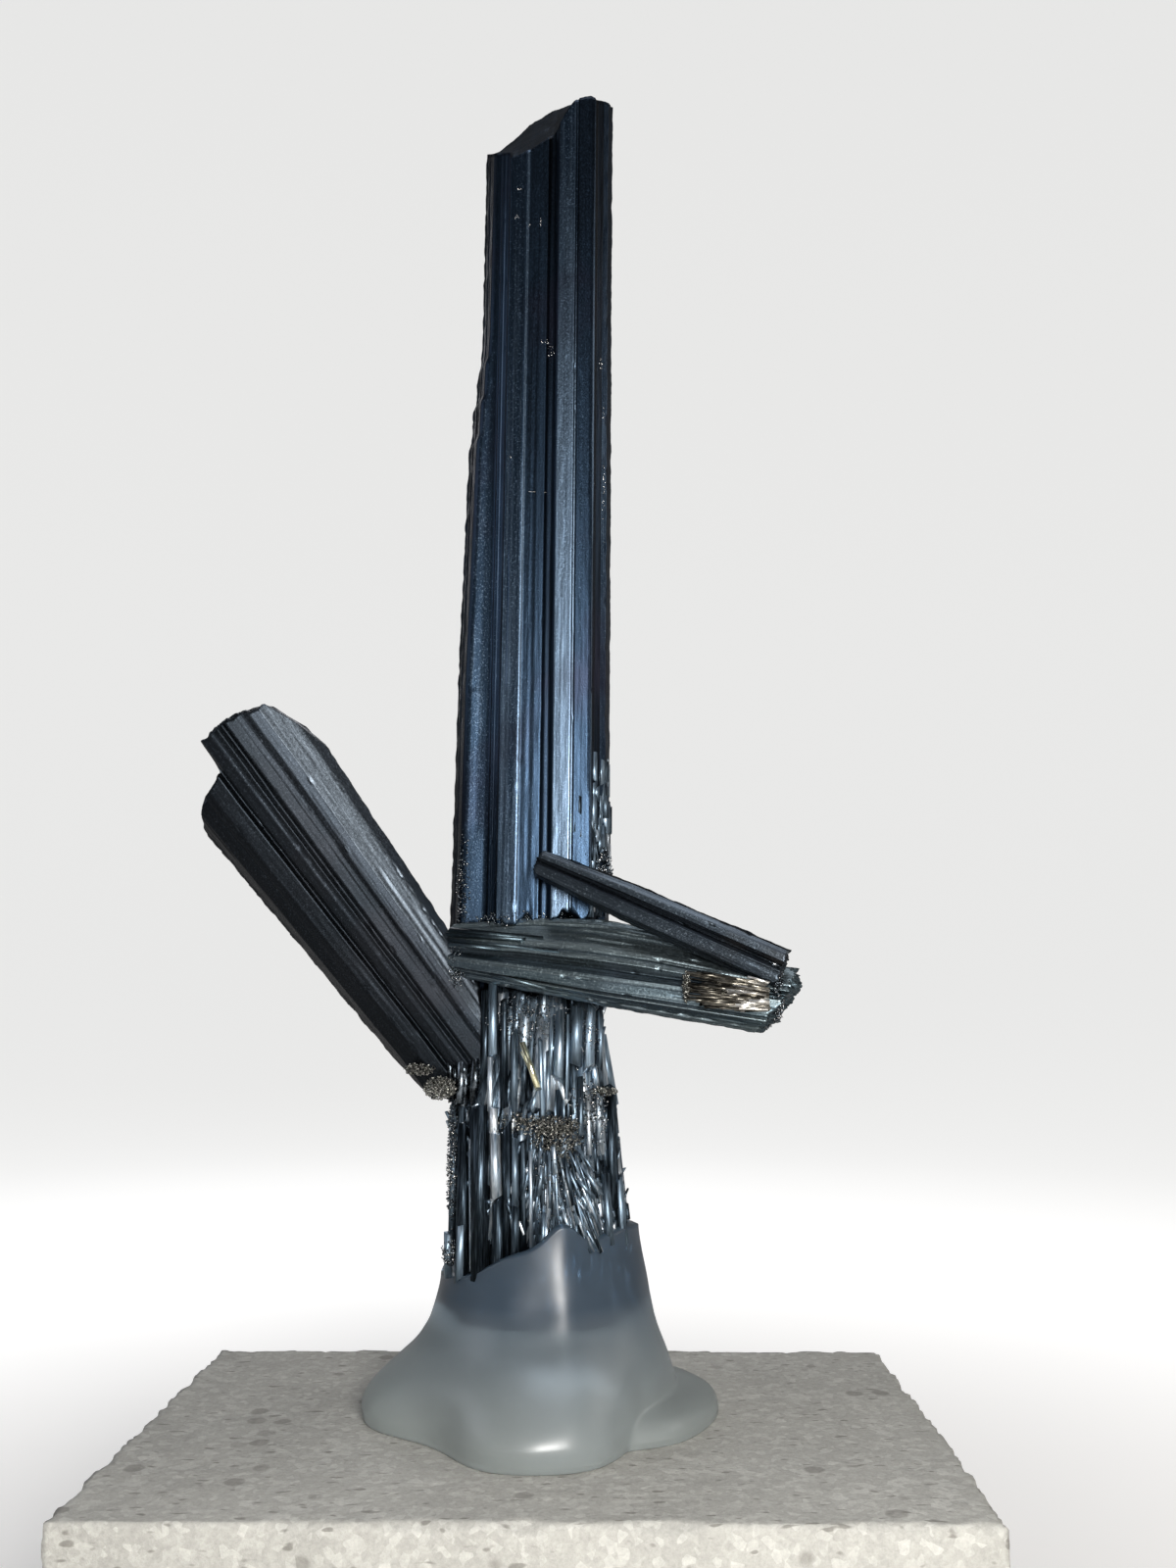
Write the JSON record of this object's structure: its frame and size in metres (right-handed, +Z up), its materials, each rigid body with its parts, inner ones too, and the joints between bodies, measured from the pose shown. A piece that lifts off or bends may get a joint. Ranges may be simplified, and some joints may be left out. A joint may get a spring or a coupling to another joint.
{
  "type": "stibnite crystal spray",
  "caption": "Spray of dark striated prismatic crystals on an etched stem of needles, set in frosted resin on a small sawn stone block.",
  "frame": {"origin": "middle of the stone block's underside", "axes": "+Z up along the tall crystal, +X to the right, -Y towards the viewer, where the crossing crystals are"},
  "size_m": [0.06, 0.041, 0.1344],
  "materials": {
    "dark_prism": "submetallic, striated",
    "grey_prism": "submetallic, striated",
    "etched_needles": "bright submetallic",
    "bronze_fibre": "silky fibrous",
    "pale_splinter": "vitreous",
    "frosted_resin": "frosted translucent",
    "pale_stone": "sawn, fine-grained"
  },
  "bodies": {
    "root": {"stone_block": "pale_stone", "resin_mount": "frosted_resin", "needle_stem": "etched_needles", "tall_crystal": "dark_prism", "leaning_crystal": "dark_prism", "lower_cross_crystal": "grey_prism", "upper_cross_crystal": "dark_prism", "bronze_splinters": "bronze_fibre", "bright_needle": "pale_splinter"}
  },
  "joints": []
}
